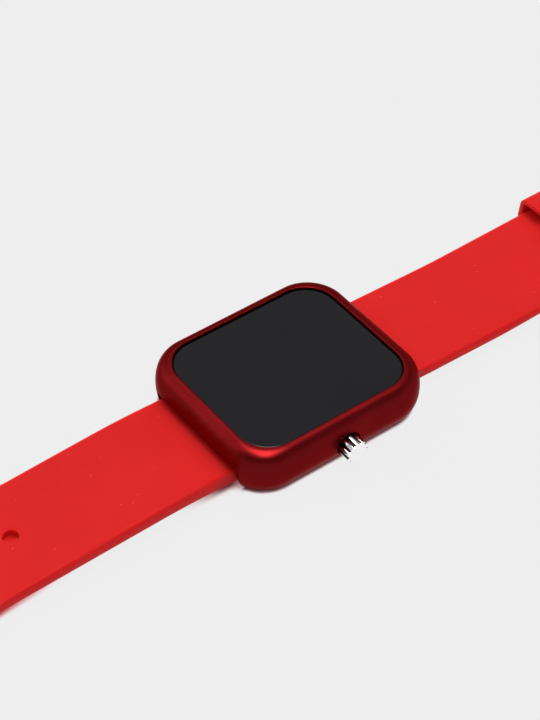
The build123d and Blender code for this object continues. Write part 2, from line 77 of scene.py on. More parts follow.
# Straps, spring bars, keeper and buckle
strap_width, bar_place, bar_height, bar_bore = 23.4, 18.9, 3.2, 0.95
strap_start, end_step, lug_radius, deeper_reach = 19.2, 0.35, 1.65, 46
upper_rounding, lower_rounding, ring_step = 0.95, 0.9, 1.5
holed_thickness, buckled_thickness = 2.4, 2.1
hole_count, first_hole, hole_pitch, hole_radius, tip_corner = 8, 60.4, 7, 1.5, 10.0
shoulder_end, shoulder_under, shoulder_over = 23.3, 3.0, -1.0
keeper_half, keeper_start, keeper_stop, keeper_top = 13.4, 69.0, 77.0, 6.5
room_half, room_low, room_top = 12.1, 0.9, 5.5
buckle_place, buckle_height, buckle_half, pin_bore = 97.0, 2.0, 14.8, 0.85
buckle_start, buckle_stop, far_bar, far_bar_radius = 87.0, 110.45, 109.1, 1.35
opening_half, opening_start, opening_stop = 12.2, 90.0, 107.55


# Modelling tools

def pick(piece):
    """Selects one piece alone and makes it the active one."""
    bpy.ops.object.select_all(action="DESELECT")
    piece.select_set(True)
    bpy.context.view_layer.objects.active = piece


def open_piece(piece, kind, test):
    """Opens a piece for editing, with only the points, edges or faces chosen that pass a test."""
    pick(piece)
    bpy.ops.object.mode_set(mode="EDIT")
    bpy.ops.mesh.select_mode(type=kind)
    bpy.ops.mesh.select_all(action="DESELECT")
    bpy.ops.object.mode_set(mode="OBJECT")
    mesh = piece.data
    for item in {"VERT": mesh.vertices, "EDGE": mesh.edges, "FACE": mesh.polygons}[kind]:
        item.select = test(item)
    bpy.ops.object.mode_set(mode="EDIT")


def close_piece():
    """Goes back from editing a piece."""
    bpy.ops.object.mode_set(mode="OBJECT")


def ends(piece, edge):
    """The two end points of an edge, in millimetres."""
    return [piece.data.vertices[index].co / mm for index in edge.vertices]


def settle(name):
    """Names the new primitive and puts its place, turn and size into its mesh."""
    piece = bpy.context.object
    piece.name = name
    piece.data.name = name
    pick(piece)
    bpy.ops.object.transform_apply(location=True, rotation=True, scale=True)
    return piece


def slab(name, low, high):
    """A block between two corners, to be shaped."""
    bpy.ops.object.select_all(action="DESELECT")
    size = [(top - bottom) * mm for bottom, top in zip(low, high)]
    middle = [(top + bottom) / 2 * mm for bottom, top in zip(low, high)]
    bpy.ops.mesh.primitive_cube_add(size=1, location=middle, scale=size)
    return settle(name)


def round_edges(piece, test, radius, steps):
    """Rounds the edges of a piece that pass a test."""
    open_piece(piece, "EDGE", test)
    bpy.ops.mesh.bevel(offset=radius * mm, segments=steps, profile=0.5, affect="EDGES")
    close_piece()


def round_uprights(piece, radius, steps, axis=2):
    """Rounds a block's four edges that run along one axis."""
    def along(edge):
        start, stop = ends(piece, edge)
        return abs((stop - start).normalized()[axis]) > 0.99

    round_edges(piece, along, radius, steps)


def plate(name, width, length, corner, low, high, steps=16):
    """A flat plate with round corners, to be shaped."""
    piece = slab(name, (-width / 2, -length / 2, low), (width / 2, length / 2, high))
    round_uprights(piece, corner, steps)
    return piece


def rod(name, radius, start, stop, place, height, sides=64):
    """A round bar along X, to be shaped."""
    bpy.ops.object.select_all(action="DESELECT")
    bpy.ops.mesh.primitive_cylinder_add(
        vertices=sides, radius=radius * mm, depth=(stop - start) * mm,
        location=((start + stop) / 2 * mm, place * mm, height * mm), rotation=(0, pi / 2, 0))
    return settle(name)


def peg(name, radius, low, high, x, y, sides=64):
    """A round bar along Z, to be shaped."""
    bpy.ops.object.select_all(action="DESELECT")
    bpy.ops.mesh.primitive_cylinder_add(
        vertices=sides, radius=radius * mm, depth=(high - low) * mm,
        location=(x * mm, y * mm, (low + high) / 2 * mm))
    return settle(name)


def turned(name, stations, sides, height):
    """A piece turned about a line along X, through stations of place and radius."""
    bpy.ops.object.select_all(action="DESELECT")
    place, radius = stations[0]
    bpy.ops.mesh.primitive_circle_add(
        vertices=sides, radius=radius * mm, fill_type="NGON",
        location=(place * mm, 0, height * mm), rotation=(0, pi / 2, 0))
    piece = settle(name)
    open_piece(piece, "FACE", lambda face: True)
    for next_place, next_radius in stations[1:]:
        bpy.ops.mesh.extrude_region_move(
            TRANSFORM_OT_translate={"value": ((next_place - place) * mm, 0, 0)})
        ratio = next_radius / radius
        bpy.ops.transform.resize(
            value=(1, ratio, ratio), center_override=(next_place * mm, 0, height * mm))
        place, radius = next_place, next_radius
    bpy.ops.mesh.select_all(action="SELECT")
    bpy.ops.mesh.normals_make_consistent(inside=False)
    close_piece()
    return piece


def finish_modifier(piece, modifier):
    """Applies a modifier to its piece."""
    pick(piece)
    bpy.ops.object.modifier_apply(modifier=modifier.name)


def combine(piece, tool, operation):
    """Cuts, joins or trims a piece with another one, which is used up."""
    modifier = piece.modifiers.new("combine", "BOOLEAN")
    modifier.operation = operation
    modifier.solver = "EXACT"
    modifier.object = tool
    finish_modifier(piece, modifier)
    bpy.data.objects.remove(tool, do_unlink=True)


def cut(piece, tool):
    """Cuts a tool's form out of a piece."""
    combine(piece, tool, "DIFFERENCE")


def join(piece, tool):
    """Joins another form to a piece."""
    combine(piece, tool, "UNION")


def gather(pieces):
    """Puts several pieces into the first one, as separate closed forms."""
    bpy.ops.object.select_all(action="DESELECT")
    for piece in pieces:
        piece.select_set(True)
    bpy.context.view_layer.objects.active = pieces[0]
    bpy.ops.object.join()
    return pieces[0]


def smooth(piece, angle=35):
    """Smooths a piece's shading between its sharp edges."""
    pick(piece)
    bpy.ops.object.shade_smooth_by_angle(angle=radians(angle))
    modifier = piece.modifiers.new("even shading", "WEIGHTED_NORMAL")
    modifier.keep_sharp = True
    finish_modifier(piece, modifier)


def soften(piece, width, angle=50, steps=3):
    """Rounds a piece's sharp edges a little and smooths its shading."""
    modifier = piece.modifiers.new("soft edges", "BEVEL")
    modifier.width = width * mm
    modifier.segments = steps
    modifier.limit_method = "ANGLE"
    modifier.angle_limit = radians(angle)
    modifier.use_clamp_overlap = True
    finish_modifier(piece, modifier)
    smooth(piece)


# Finishes

class Signal:
    """A number or colour on its way through a finish's nodes."""

    def __init__(self, finish, socket):
        self.finish = finish
        self.socket = socket

    def maths(self, operation, first, second):
        return self.finish.node(
            "ShaderNodeMath", {"operation": operation}, {0: first, 1: second})

    def __add__(self, other):
        return self.maths("ADD", self, other)

    def __sub__(self, other):
        return self.maths("SUBTRACT", self, other)

    def __rsub__(self, other):
        return self.maths("SUBTRACT", other, self)

    def __mul__(self, other):
        return self.maths("MULTIPLY", self, other)

    def __gt__(self, other):
        return self.maths("GREATER_THAN", self, other)


class Finish:
    """One finish: a material, its surface shader, and the nodes that vary it."""

    def __init__(self, name, **constants):
        self.material = bpy.data.materials.new(name)
        self.material.use_nodes = True
        self.tree = self.material.node_tree
        self.surface = self.tree.nodes["Principled BSDF"]
        for label, amount in constants.items():
            self.surface.inputs[label.replace("_", " ")].default_value = amount

    def node(self, kind, settings=None, inputs=None, output=0):
        """Adds a node with its settings first, then the numbers or links of its sockets."""
        made = self.tree.nodes.new(kind)
        for label, setting in (settings or {}).items():
            if label == "stops":
                ramp = made.color_ramp
                while len(ramp.elements) < len(setting):
                    ramp.elements.new(0.5)
                for element, (position, colour) in zip(ramp.elements, setting):
                    element.position = position
                    element.color = colour
            else:
                setattr(made, label, setting)
        for label, source in (inputs or {}).items():
            socket = made.inputs[label]
            if isinstance(source, Signal):
                self.tree.links.new(source.socket, socket)
            else:
                socket.default_value = source
        return Signal(self, made.outputs[output])

    def place(self, stretch=(1, 1, 1), centre=(0, 0, 0)):
        """The point on the piece, centred and stretched, in millimetres."""
        point = self.node("ShaderNodeTexCoord", output="Object")
        return self.node(
            "ShaderNodeMapping", {}, {
                "Vector": point,
                "Location": [-spot * factor for spot, factor in zip(centre, stretch)],
                "Scale": [factor / mm for factor in stretch]})

    def noise(self, point, scale, detail=2.0, roughness=0.5):
        """Smooth noise; scale is lumps per millimetre."""
        return self.node(
            "ShaderNodeTexNoise", {}, {
                "Vector": point, "Scale": scale, "Detail": detail, "Roughness": roughness})

    def ramp(self, source, stops):
        """A colour for each level of a number."""
        return self.node("ShaderNodeValToRGB", {"stops": stops}, {"Fac": source})

    def mix(self, amount, first, second):
        """A colour between two colours."""
        return self.node(
            "ShaderNodeMix", {"data_type": "RGBA"},
            {"Factor": amount, 6: first, 7: second}, output=2)

    def level(self, source, low, high, new_low, new_high):
        """A number brought from one range to another and kept inside it."""
        return self.node(
            "ShaderNodeMapRange", {}, {
                "Value": source, "From Min": low, "From Max": high,
                "To Min": new_low, "To Max": new_high})

    def relief(self, height, distance, strength=1.0):
        """Raises the surface by a number; distance is in millimetres."""
        bump = self.node(
            "ShaderNodeBump", {}, {
                "Height": height, "Distance": distance * mm, "Strength": strength})
        self.use("Normal", bump)

    def seen(self):
        """One where the camera, gloss or a clear piece looks, and nought for other light."""
        camera, gloss, clear = [
            self.node("ShaderNodeLightPath", output=label)
            for label in ("Is Camera Ray", "Is Glossy Ray", "Is Transmission Ray")]
        return (camera + gloss + clear) > 0.5

    def show(self, shader):
        """Makes a shader the one that is shown."""
        target = self.tree.nodes["Material Output"].inputs["Surface"]
        self.tree.links.new(shader.socket, target)

    def use(self, label, source):
        """Feeds a varying number or colour to the surface."""
        self.tree.links.new(source.socket, self.surface.inputs[label])


def shade(colour, factor=1.0):
    """A colour with full cover, lighter or darker."""
    return tuple(channel * factor for channel in colour) + (1.0,)


def satin_red_metal():
    """Anodised, bead blasted metal: fine grain, slight cloudiness."""
    finish = Finish("satin red metal", Metallic=1.0, Specular_Tint=(0.80, 0.50, 0.50, 1.0))
    point = finish.place()
    grain = finish.noise(point, 9.0, 3.0, 0.6)
    cloud = finish.noise(point, 0.12, 2.0)
    deep, light = (0.140, 0.0048, 0.0060), (0.180, 0.0070, 0.0084)
    finish.use("Base Color", finish.mix(
        finish.level(cloud * 0.6 + grain * 0.4, 0.3, 0.7, 0.0, 1.0), shade(deep), shade(light)))
    finish.use("Roughness", finish.level(grain, 0.3, 0.7, 0.31, 0.39))
    finish.relief(grain, 0.012, 0.4)
    return finish


def red_silicone():
    """Moulded silicone: matte, with a faint grain and a few specks of dust."""
    finish = Finish(
        "red silicone", IOR=1.41, Specular_IOR_Level=0.25, Subsurface_Weight=0.8,
        Subsurface_Radius=(1.0, 0.10, 0.10), Subsurface_Scale=2.0 * mm)
    point = finish.place()
    grain = finish.noise(point, 5.0, 4.0, 0.6)
    cloud = finish.noise(point, 0.05, 2.0)
    dust = finish.node(
        "ShaderNodeTexVoronoi", {}, {"Vector": point, "Scale": 0.55, "Randomness": 1.0})
    pick_few = finish.noise(point, 0.9, 1.0)
    speck = finish.level(dust, 0.05, 0.11, 1.0, 0.0) * finish.level(pick_few, 0.58, 0.62, 0.0, 1.0)
    body = finish.mix(
        finish.level(cloud, 0.3, 0.7, 0.0, 1.0),
        shade((0.655, 0.0098, 0.0100)), shade((0.705, 0.0120, 0.0122)))
    finish.use("Base Color", finish.mix(speck * 0.5, body, shade((0.85, 0.22, 0.20))))
    finish.use("Roughness", finish.level(grain, 0.3, 0.7, 0.52, 0.62))
    finish.relief(grain, 0.02, 0.35)
    return finish


def dark_glass():
    """The display's lens: near black right through, with a polished face."""
    finish = Finish("dark glass", IOR=1.5, Specular_IOR_Level=0.15)
    point = finish.place()
    smear = finish.noise(point, 0.10, 3.0)
    finish.use("Base Color", finish.mix(
        smear, shade((0.0130, 0.0123, 0.0140)), shade((0.0160, 0.0152, 0.0170))))
    finish.use("Roughness", finish.level(smear, 0.3, 0.7, 0.10, 0.16))
    return finish


def chrome():
    """Bright plating with faint polishing marks."""
    finish = Finish("bright plating", Metallic=1.0)
    point = finish.place(stretch=(0.4, 1, 1))
    marks = finish.noise(point, 3.0, 4.0, 0.7)
    finish.use("Base Color", finish.mix(
        marks, shade((0.80, 0.80, 0.82)), shade((0.90, 0.90, 0.91))))
    finish.use("Roughness", finish.level(marks, 0.3, 0.7, 0.08, 0.18))
    finish.relief(marks, 0.01, 0.3)
    return finish


def crown_plating():
    """Plating with fine lines along the crown, painted shade in the flutes and a painted highlight
    on the end.
    """
    finish = Finish("crown plating", Metallic=1.0)
    lines = finish.noise(finish.place(stretch=(0.12, 1, 1)), 8.0, 3.0, 0.7)
    from_axis = finish.node(
        "ShaderNodeVectorMath", {"operation": "LENGTH"},
        {0: finish.place(stretch=(0, 1, 1), centre=(0, 0, crown_height))}, output="Value")
    along = finish.node(
        "ShaderNodeSeparateXYZ", {}, {"Vector": finish.place()}, output="X")
    # The last part of the end is painted near white: a painted highlight.
    painted_highlight_end = finish.level(along, crown_end - 0.24, crown_end - 0.16, 0.0, 1.0)
    land = finish.level(from_axis, 2.12, 2.24, 0.0, 1.0)
    # The flutes are painted a near-black red: painted shade in the grooves.
    side = finish.mix(
        land, shade((0.045, 0.018, 0.022)),
        finish.mix(finish.level(lines, 0.40, 0.60, 0.0, 1.0),
                   shade((0.12, 0.12, 0.13)), shade((0.88, 0.88, 0.89))))
    finish.use("Base Color", finish.mix(painted_highlight_end, side, shade((0.99, 0.99, 0.99))))
    finish.use("Roughness", finish.level(lines, 0.3, 0.7, 0.03, 0.07))
    return finish


def brushed_steel(name, colour, stretch, rough=0.32):
    """Steel brushed one way."""
    finish = Finish(name, Metallic=1.0)
    point = finish.place(stretch=stretch)
    lines = finish.noise(point, 4.0, 4.0, 0.7)
    finish.use("Base Color", finish.mix(lines, shade(colour, 0.82), shade(colour, 1.12)))
    finish.use("Roughness", finish.level(lines, 0.3, 0.7, rough - 0.07, rough + 0.09))
    finish.relief(lines, 0.01, 0.4)
    return finish


def metal(name, colour, rough):
    """Plain metal with slight tarnish."""
    finish = Finish(name, Metallic=1.0)
    point = finish.place()
    tarnish = finish.noise(point, 1.5, 4.0, 0.6)
    finish.use("Base Color", finish.mix(tarnish, shade(colour, 0.80), shade(colour, 1.08)))
    finish.use("Roughness", finish.level(tarnish, 0.3, 0.7, rough - 0.06, rough + 0.08))
    return finish


def plastic(name, colour, rough, grain_scale=4.0):
    """Moulded plastic or rubber with a fine grain."""
    finish = Finish(name, IOR=1.48)
    point = finish.place()
    grain = finish.noise(point, grain_scale, 3.0, 0.6)
    finish.use("Base Color", finish.mix(grain, shade(colour, 0.85), shade(colour, 1.12)))
    finish.use("Roughness", finish.level(grain, 0.3, 0.7, rough - 0.06, rough + 0.08))
    finish.relief(grain, 0.01, 0.4)
    return finish


def board_lacquer():
    """Green lacquer with the faint lines of the copper under it."""
    finish = Finish("board lacquer", IOR=1.5)
    point = finish.place()
    lines = finish.node(
        "ShaderNodeTexBrick", {}, {
            "Vector": point, "Scale": 1.0, "Mortar Size": 0.08, "Brick Width": 2.4,
            "Row Height": 0.9, "Color1": (0, 0, 0, 1), "Color2": (0, 0, 0, 1),
            "Mortar": (1, 1, 1, 1)})
    finish.use("Base Color", finish.mix(
        lines, shade((0.012, 0.095, 0.040)), shade((0.030, 0.180, 0.070))))
    finish.use("Roughness", finish.level(finish.noise(point, 2.0, 3.0), 0.3, 0.7, 0.26, 0.40))
    return finish


# The watch case: outer form by rings, then its cuts

def ring_up(piece, rings, height, inset_side, inset_end, fullness, sign):
    """Draws a flat face in, ring by ring, up or down, along a quarter of an ellipse."""
    open_piece(piece, "FACE", lambda face: face.normal.z * sign > 0.9)
    inset_before, end_before, rise_before = 0.0, 0.0, 0.0
    for turn in rings:
        draw_in = 1 - abs(cos(turn)) ** (2 / fullness)
        inset, end = inset_side * draw_in, inset_end * draw_in
        rise = height * sin(turn) ** (2 / fullness)
        bpy.ops.mesh.inset(
            thickness=(inset - inset_before) * mm, depth=(rise - rise_before) * mm,
            use_even_offset=True)
        length_made = case_length - 2 * (end_before + inset - inset_before)
        ratio = (case_length - 2 * end) / length_made
        bpy.ops.transform.resize(
            value=(1, ratio, 1), center_override=(0, 0, (widest_height + sign * rise) * mm))
        inset_before, end_before, rise_before = inset, end, rise
    close_piece()


def watch_case():
    """The moulded case with its window, pocket, strap notches and crown recess."""
    half_width, half_length = case_width / 2, case_length / 2
    case = slab(
        "case_moulded", (-half_width, -half_length, widest_height - 0.005),
        (half_width, half_length, widest_height + 0.005))
    round_uprights(case, case_corner, 28)
    rim_rings = [pi / 2 * step / rim_steps for step in range(1, rim_steps + 1)]
    rim_ellipse = rim_height - widest_height
    ring_up(case, rim_rings, rim_ellipse, rim_inset_side, rim_inset_end, rim_fullness, 1)
    foot_rings = [radians(foot_turn) * step / foot_steps for step in range(1, foot_steps + 1)]
    foot_ellipse = (widest_height - foot_height) / sin(radians(foot_turn))
    ring_up(case, foot_rings, foot_ellipse, foot_inset_side, foot_inset_end, 2, -1)
    cut(case, plate("cutter", window_width, window_length, window_corner, lens_seat, above, 20))
    cut(case, plate("cutter", pocket_width, pocket_length, pocket_corner, -2, above, 10))
    cut(case, plate("cutter", seat_width, seat_length, seat_corner, -2, seat_depth, 10))
    for side in (-1, 1):
        near, far = sorted((side * notch_start, side * beyond))
        cut(case, slab("cutter", (-notch_half, near, -2), (notch_half, far, notch_height)))
        cut(case, rod("cutter", bar_hole, -bar_reach, bar_reach, side * bar_place, bar_height, 32))
    cut(case, rod("cutter", recess_radius, recess_start, beyond, 0, crown_height, 96))
    cut(case, rod("cutter", tube_hole, 10, beyond, 0, crown_height, 48))

    def rim_edge(edge):
        return all(
            abs(end.z - rim_height) < 0.02 and abs(end.x) < window_width / 2 + 0.05
            and abs(end.y) < window_length / 2 + 0.05 for end in ends(case, edge))

    round_edges(case, rim_edge, 0.12, 3)
    soften(case, 0.1, angle=52)
    return case


def display_glass():
    """The dark lens with its rounded top edge."""
    lens = plate("lens_glass", lens_width, lens_length, lens_corner, lens_under, lens_top, 24)

    def top_edge(edge):
        return all(abs(end.z - lens_top) < 0.001 for end in ends(lens, edge))

    round_edges(lens, top_edge, lens_edge, 5)
    smooth(lens, 50)
    return lens


# Straps

def route_height(place, route, bend=150.0):
    """Height of a strap's middle at a place along Y: straight runs joined by long bends."""
    runs = list(zip(route, route[1:]))
    slopes = [(end[1] - start[1]) / (end[0] - start[0]) for start, end in runs]
    for index, (start, end) in enumerate(runs):
        if place <= end[0] or index == len(runs) - 1:
            height = start[1] + slopes[index] * (place - start[0])
            if index + 1 < len(runs):
                change = slopes[index + 1] - slopes[index]
                reach = bend * abs(change) / 2
                past = place - (end[0] - reach)
                if past > 0:
                    height += change * past * past / (4 * reach)
            if index > 0:
                change = slopes[index] - slopes[index - 1]
                reach = bend * abs(change) / 2
                short = start[0] + reach - place
                if short > 0:
                    height += change * short * short / (4 * reach)
            return height


def strap_band(name, thickness, route, tip_round, deeper):
    """A strap with rounded edges and a narrower, deeper end with a lug, laid along its route."""
    half, flat = strap_width / 2, thickness / 2
    start, tip = strap_start, route[-1][0]
    band = slab(name, (-half, start, -flat), (half, tip, flat))
    if tip_round:
        def upright_at_tip(edge_of):
            first, last = ends(band, edge_of)
            return min(first.y, last.y) > tip - 0.01 and abs(first.z - last.z) > 0.1

        round_edges(band, upright_at_tip, tip_round, 16)

    for face_height, edge in ((flat, upper_rounding), (-flat, lower_rounding)):
        def rim(edge_of):
            first, last = ends(band, edge_of)
            level = abs(first.z - face_height) + abs(last.z - face_height) < 0.01
            return level and max(first.y, last.y) > start + 0.01

        round_edges(band, rim, edge, 6)
    open_piece(band, "FACE", lambda face: True)
    place = start + ring_step
    while place < tip - tip_corner - 1:
        bpy.ops.mesh.select_all(action="SELECT")
        bpy.ops.mesh.bisect(plane_co=(0, place * mm, 0), plane_no=(0, 1, 0))
        place += ring_step
    close_piece()
    for side in (-1, 1):
        inner, outer = sorted((side * (half - end_step), side * (half + 3)))
        shoulder = slab("shoulder", (inner, 15, -3), (outer, shoulder_end, 3))
        for sign, slant in ((-1, shoulder_under), (1, shoulder_over)):
            def far_edge(point):
                return point.co.y > (shoulder_end - 0.3) * mm and point.co.z * sign > 0

            open_piece(shoulder, "VERT", far_edge)
            bpy.ops.transform.translate(value=(0, slant * mm, 0))
            close_piece()
        cut(band, shoulder)
    for point in band.data.vertices:
        along = point.co.y / mm
        if point.co.z < 0:
            point.co.z -= deeper * max(0, 1 - (along - start) / deeper_reach) * mm
        point.co.z += route_height(along, route) * mm
    lug_half = half - end_step + 0.01
    join(band, rod("lug", lug_radius, -lug_half, lug_half, bar_place, bar_height, 64))
    cut(band, rod("bore", bar_bore, -half - 1, half + 1, bar_place, bar_height, 48))
    return band


def strap_with_holes():
    """The strap with the row of holes and a round tip, along -Y."""
    route = [(bar_place, bar_height), (31.1, 3.6), (88.1, 1.2), (133.1, 1.2)]
    strap = strap_band("strap_with_holes", holed_thickness, route, tip_corner, 0.75)
    for step in range(hole_count):
        hole_place = first_hole + hole_pitch * step
        low = route_height(hole_place, route) - 0.05 if step == 0 else -2
        cut(strap, peg("punch", hole_radius, low, 8, 0, hole_place, 48))
    soften(strap, 0.18)
    strap.rotation_euler = (0, 0, pi)
    pick(strap)
    bpy.ops.object.transform_apply(location=True, rotation=True, scale=True)
    return strap


def strap_with_buckle():
    """The strap that carries the buckle, with a slot for the tongue, along +Y."""
    route = [(bar_place, bar_height), (44.0, 2.35), (70.0, 2.75), (buckle_place, buckle_height)]
    strap = strap_band("strap_with_buckle", buckled_thickness, route, 0, 0.3)
    half = strap_width / 2
    join(strap, rod("loop", 1.7, -half, half, buckle_place, buckle_height, 64))
    cut(strap, rod("bore", pin_bore, -half - 1, half + 1, buckle_place, buckle_height, 48))
    cut(strap, slab("slot", (-1.9, buckle_place - 6.5, -2), (1.9, buckle_place + 4, 8)))
    soften(strap, 0.15)
    return strap


def keeper_loop():
    """The loose loop that holds the strap's tail; its legs lean in a little."""
    loop = slab(
        "keeper_loop", (-keeper_half, keeper_start, 0), (keeper_half, keeper_stop, keeper_top))
    round_uprights(loop, 1.9, 12, axis=1)
    room = slab("room", (-room_half, 60, room_low), (room_half, 90, room_top))
    round_uprights(room, 0.7, 8, axis=1)
    cut(loop, room)
    soften(loop, 0.4, angle=60, steps=5)
    open_piece(loop, "VERT", lambda point: point.co.z > 3 * mm)
    bpy.ops.transform.resize(value=(0.975, 1, 1), center_override=(0, 0, 0))
    close_piece()
    return loop


# Crown

def fluted_crown():
    """The crown: a fluted cap on a grooved stem, hollow under the cap for its spring."""
    crown = turned(
        "crown_fluted",
        [(crown_under, crown_turned_radius - 0.08), (crown_under + 0.08, crown_turned_radius),
         (crown_end - 0.15, crown_turned_radius), (crown_end - 0.04, crown_turned_radius - 0.05),
         (crown_end, crown_turned_radius - 0.15)],
        flute_count * 12, crown_height)
    for offset, depth in ((0, 0.36), (1, 0.33), (2, 0.24)):
        def in_flute(point):
            turn = degrees(atan2(point.co.z / mm - crown_height, point.co.y / mm)) - first_flute
            index = round(turn * flute_count * 12 / 360) % 12
            return index in (offset, (12 - offset) % 12)

        open_piece(crown, "VERT", in_flute)
        ratio = (crown_turned_radius - depth) / crown_turned_radius
        bpy.ops.transform.resize(
            value=(1, ratio, ratio), center_override=(0, 0, crown_height * mm))
        close_piece()
    cut(crown, rod("cup", cup_radius, 16, cup_end, 0, crown_height, 64))
    stem = turned(
        "stem",
        [(13.2, 0.62), (13.33, stem_radius),
         (14.22, stem_radius), (14.22, groove_radius), (14.58, groove_radius), (14.58, stem_radius),
         (16.23, stem_radius), (16.23, groove_radius), (16.77, groove_radius), (16.77, stem_radius),
         (20.7, stem_radius)],
        48, crown_height)
    join(crown, stem)
    soften(crown, 0.04, angle=60, steps=2)
    return crown


def crown_coil():
    """The coil spring between the recess in the case and the crown's cup."""
    bpy.ops.object.select_all(action="DESELECT")
    bpy.ops.mesh.primitive_circle_add(
        vertices=12, radius=coil_wire * mm, fill_type="NOTHING",
        location=((coil_start + coil_wire) * mm, coil_radius * mm, 0))
    coil = settle("crown_coil")
    modifier = coil.modifiers.new("turns", "SCREW")
    modifier.axis = "X"
    modifier.angle = coil_turns * 2 * pi
    modifier.iterations = 1
    modifier.steps = modifier.render_steps = 100
    modifier.screw_offset = (coil_stop - coil_start - 2 * coil_wire) * mm
    modifier.use_smooth_shade = True
    finish_modifier(coil, modifier)
    open_piece(coil, "FACE", lambda face: True)
    bpy.ops.transform.translate(value=(0, 0, crown_height * mm))
    bpy.ops.mesh.fill_holes(sides=0)
    bpy.ops.mesh.select_all(action="SELECT")
    bpy.ops.mesh.normals_make_consistent(inside=False)
    close_piece()
    smooth(coil, 50)
    return coil


# Buckle

def two_circle_form(name, first, second, half):
    """A solid drawn tight round two bars along X, each given by place, height and radius."""
    piece = rod(name, first[2], -half, half, first[0], first[1], 72)
    other = rod("far_end", second[2], -half, half, second[0], second[1], 72)
    gather([piece, other])
    open_piece(piece, "VERT", lambda point: True)
    bpy.ops.mesh.convex_hull()
    close_piece()
    return piece


def cast_buckle():
    """The cast frame: two cheeks round the pin and a far bar with a groove."""
    frame_piece = two_circle_form(
        "buckle_cast", (buckle_place, buckle_height, buckle_height),
        (far_bar, far_bar_radius, far_bar_radius), buckle_half)
    outline = slab("outline", (-buckle_half, buckle_start, -2), (buckle_half, buckle_stop, 8))
    round_uprights(outline, 4.0, 14)
    combine(frame_piece, outline, "INTERSECT")
    opening = slab("opening", (-opening_half, opening_start, -2), (opening_half, opening_stop, 8))
    round_uprights(opening, 1.6, 10)
    cut(frame_piece, opening)
    cut(frame_piece, rod("bore", 0.81, -15, 15, buckle_place, buckle_height, 48))
    cut(frame_piece, slab("groove", (-1.5, 106.0, 2.3), (1.5, 112.0, 8)))
    soften(frame_piece, 0.22, angle=40, steps=4)
    return frame_piece


def buckle_arm():
    """The tongue: a loop on the pin and an arm that lies in the far bar's groove."""
    arm = two_circle_form("tongue_arm", (98.5, 2.72, 0.72), (109.6, 3.06, 0.6), 1.3)
    join(arm, rod("loop", 1.55, -1.6, 1.6, buckle_place, buckle_height, 64))
    cut(arm, rod("bore", pin_bore, -3, 3, buckle_place, buckle_height, 48))
    soften(arm, 0.18, angle=40)
    return arm


# Back

screw_places = [(x, y) for x in (-screw_x, screw_x) for y in (-screw_y, screw_y)]


def steel_back():
    """The flat back with its bevelled edge and the sinks of four screws."""
    back = plate("back_steel", back_width, back_length, back_corner, 0, back_thickness, 12)

    def low_edge(edge):
        return all(abs(end.z) < 0.001 for end in ends(back, edge))

    round_edges(back, low_edge, 0.25, 1)
    for x, y in screw_places:
        cut(back, peg("sink", sink_radius, -1, sink_depth, x, y, 40))
    soften(back, 0.04, angle=40, steps=2)
    return back


def back_screws():
    """Four slotted screw heads in the back's sinks, as one piece."""
    heads = []
    for index, (x, y) in enumerate(screw_places):
        head = peg(f"screw_head_{index}", head_radius, head_under, sink_depth, x, y, 40)
        open_piece(head, "FACE", lambda face: face.normal.z < -0.9)
        bpy.ops.mesh.inset(thickness=0.12 * mm, depth=0.06 * mm)
        close_piece()
        slot = slab("slot", (-slot_half, -2, -1), (slot_half, 2, slot_depth))
        slot.rotation_euler = (0, 0, radians(25 + 48 * index))
        slot.location = (x * mm, y * mm, 0)
        pick(slot)
        bpy.ops.object.transform_apply(location=True, rotation=True, scale=True)
        cut(head, slot)
        heads.append(head)
    screws = gather(heads)
    screws.name = screws.data.name = "back_screws"
    soften(screws, 0.03, angle=40, steps=2)
    return screws


# Dressing: a finish, a body to ride on, a material slot and the CAD node that is replaced

def dress(piece, finish, body, slot, *nodes):
    """Gives a new piece its finish and its body; the slot argument is not used."""
    piece.data.materials.clear()
    piece.data.materials.append(finish.material)
    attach(piece, body)
    if nodes:
        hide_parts(*nodes)


def refinish(finish, *nodes):
    """Gives CAD nodes that stay a better finish."""
    for name in nodes:
        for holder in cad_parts[name].material_slots:
            holder.material = finish.material


red_metal = satin_red_metal()
silicone = red_silicone()
plating = chrome()
steel_of_back = brushed_steel("brushed back steel", (0.55, 0.55, 0.57), (0.08, 1, 1))
plain_steel = brushed_steel("plain steel", (0.48, 0.49, 0.51), (0.2, 1, 1), 0.28)
rubber = plastic("black rubber", (0.020, 0.020, 0.020), 0.70)

dress(watch_case(), red_metal, "case", "case_red", "case_shell")
dress(display_glass(), dark_glass(), "case", "lens_black", "display_lens")
dress(steel_back(), steel_of_back, "case", "back_steel", "back_plate")
dress(back_screws(), plain_steel, "case", "plain_steel")
dress(strap_with_holes(), silicone, "hole_strap", "strap_red", "hole_strap")
dress(strap_with_buckle(), silicone, "buckle_strap", "strap_red", "buckle_strap")
dress(keeper_loop(), silicone, "keeper", "strap_red", "keeper")
dress(fluted_crown(), crown_plating(), "crown", "bright_steel", "crown")
coil = crown_coil()
dress(coil, plain_steel, "case", "plain_steel", "crown_spring")
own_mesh(coil)
dress(cast_buckle(), plating, "buckle", "bright_steel", "buckle_frame")
dress(buckle_arm(), plating, "tongue", "bright_steel", "buckle_tongue")

